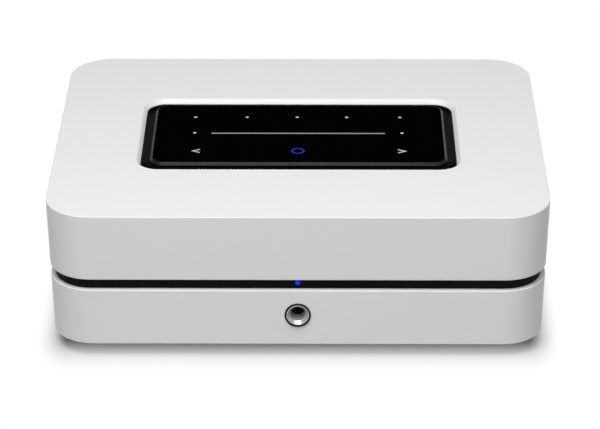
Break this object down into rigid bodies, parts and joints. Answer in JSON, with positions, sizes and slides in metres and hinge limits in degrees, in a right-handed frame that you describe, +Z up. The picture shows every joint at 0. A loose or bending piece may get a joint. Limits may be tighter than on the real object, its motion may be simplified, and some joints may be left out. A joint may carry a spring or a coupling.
{
  "type": "streaming amplifier",
  "caption": "Low rounded white casing in two halves with a dark gap between, a sunken black touch panel on top, a headphone socket in front and speaker posts behind.",
  "frame": {"origin": "centre of the bounding box's bottom, on the surface that the feet stand on", "axes": "+X to the right of someone facing the front, +Y to the rear, +Z up"},
  "size_m": [0.22, 0.19, 0.07],
  "materials": {
    "casing_white": "satin, lightly textured",
    "liner_black": "matt",
    "base_black": "matt, fine grain",
    "foot_rubber": "matt",
    "screw_steel": "zinc plated",
    "grille_black": "matt",
    "carrier_black": "satin",
    "panel_glass": "polished, black behind",
    "light_guide_clear": "clear moulded",
    "status_blue": "lit blue lens",
    "board_green": "solder mask",
    "flex_amber": "polyimide film",
    "part_black": "moulded",
    "standoff_brass": "turned",
    "sink_aluminium": "extruded",
    "coil_dark": "shrink sleeve",
    "shield_tin": "tin plated",
    "core_steel": "ferrite",
    "winding_copper": "enamelled copper",
    "capacitor_black": "sleeved",
    "ferrule_chrome": "polished",
    "socket_black": "moulded",
    "contact_silver": "plated",
    "contact_gold": "gold plated",
    "panel_black": "powder coated",
    "shell_nickel": "nickel plated",
    "post_red": "moulded",
    "post_black": "moulded"
  },
  "bodies": {
    "case": {"upper_shell": "casing_white", "lower_shell": "casing_white", "gap_liner": "liner_black", "base_plate": "base_black", "rubber_feet": "foot_rubber", "case_screws": "screw_steel", "vent_grille": "grille_black", "grille_screws": "screw_steel", "touch_carrier": "carrier_black", "touch_board": "board_green", "light_guide": "light_guide_clear", "touch_glass": "panel_glass", "touch_flex": "flex_amber", "status_light_pipe": "status_blue", "status_lamp": "part_black", "headphone_bezel": "socket_black", "headphone_ferrule": "ferrule_chrome", "headphone_body": "part_black", "headphone_contacts": "contact_silver", "main_board": "board_green", "power_board": "board_green", "board_standoffs": "standoff_brass", "board_screws": "screw_steel", "amplifier_chips": "part_black", "heat_sink": "sink_aluminium", "output_inductors": "coil_dark", "processor_module": "board_green", "processor_shield": "shield_tin", "transformer_core": "core_steel", "transformer_winding": "winding_copper", "bulk_capacitors": "capacitor_black", "small_capacitors": "capacitor_black", "power_link": "part_black", "antenna_boards": "board_green", "socket_panel": "panel_black", "speaker_panel": "panel_black", "rear_panel_screws": "screw_steel", "mains_inlet": "socket_black", "mains_pins": "contact_silver", "hdmi_socket": "shell_nickel", "usb_socket": "shell_nickel", "port_tongues": "part_black", "ethernet_socket": "socket_black", "ethernet_contacts": "contact_gold", "line_input_socket": "socket_black", "sub_output_insulator": "socket_black", "sub_output_barrel": "contact_gold", "post_studs": "contact_gold", "positive_collars": "post_red", "negative_collars": "post_black", "post_nuts": "contact_gold", "speaker_tabs": "contact_silver"},
    "washer_1": {"post_washer_1": "contact_gold"},
    "cap_1": {"post_cap_1": "post_red"},
    "washer_2": {"post_washer_2": "contact_gold"},
    "cap_2": {"post_cap_2": "post_red"},
    "washer_3": {"post_washer_3": "contact_gold"},
    "cap_3": {"post_cap_3": "post_black"},
    "washer_4": {"post_washer_4": "contact_gold"},
    "cap_4": {"post_cap_4": "post_black"}
  },
  "joints": [
    {"name": "washer_slide_1", "type": "slide", "parent": "case", "child": "washer_1", "axis": [0, 1, 0], "range_m": [0, 0.00401]},
    {"name": "cap_turn_1", "type": "hinge", "parent": "washer_1", "child": "cap_1", "pos_m": [-0.0482, 0.086, 0.025], "axis": [0, 1, 0], "range_deg": [0, 1440]},
    {"name": "washer_slide_2", "type": "slide", "parent": "case", "child": "washer_2", "axis": [0, 1, 0], "range_m": [0, 0.00401]},
    {"name": "cap_turn_2", "type": "hinge", "parent": "washer_2", "child": "cap_2", "pos_m": [-0.0482, 0.086, 0.0495], "axis": [0, 1, 0], "range_deg": [0, 1440]},
    {"name": "washer_slide_3", "type": "slide", "parent": "case", "child": "washer_3", "axis": [0, 1, 0], "range_m": [0, 0.00401]},
    {"name": "cap_turn_3", "type": "hinge", "parent": "washer_3", "child": "cap_3", "pos_m": [-0.06725, 0.086, 0.025], "axis": [0, 1, 0], "range_deg": [0, 1440]},
    {"name": "washer_slide_4", "type": "slide", "parent": "case", "child": "washer_4", "axis": [0, 1, 0], "range_m": [0, 0.00401]},
    {"name": "cap_turn_4", "type": "hinge", "parent": "washer_4", "child": "cap_4", "pos_m": [-0.06725, 0.086, 0.0495], "axis": [0, 1, 0], "range_deg": [0, 1440]}
  ],
  "couplings": [
    {"joint": "washer_slide_1", "follows": "cap_turn_1", "m_per_rad": 0.00015915},
    {"joint": "washer_slide_2", "follows": "cap_turn_2", "m_per_rad": 0.00015915},
    {"joint": "washer_slide_3", "follows": "cap_turn_3", "m_per_rad": 0.00015915},
    {"joint": "washer_slide_4", "follows": "cap_turn_4", "m_per_rad": 0.00015915}
  ]
}
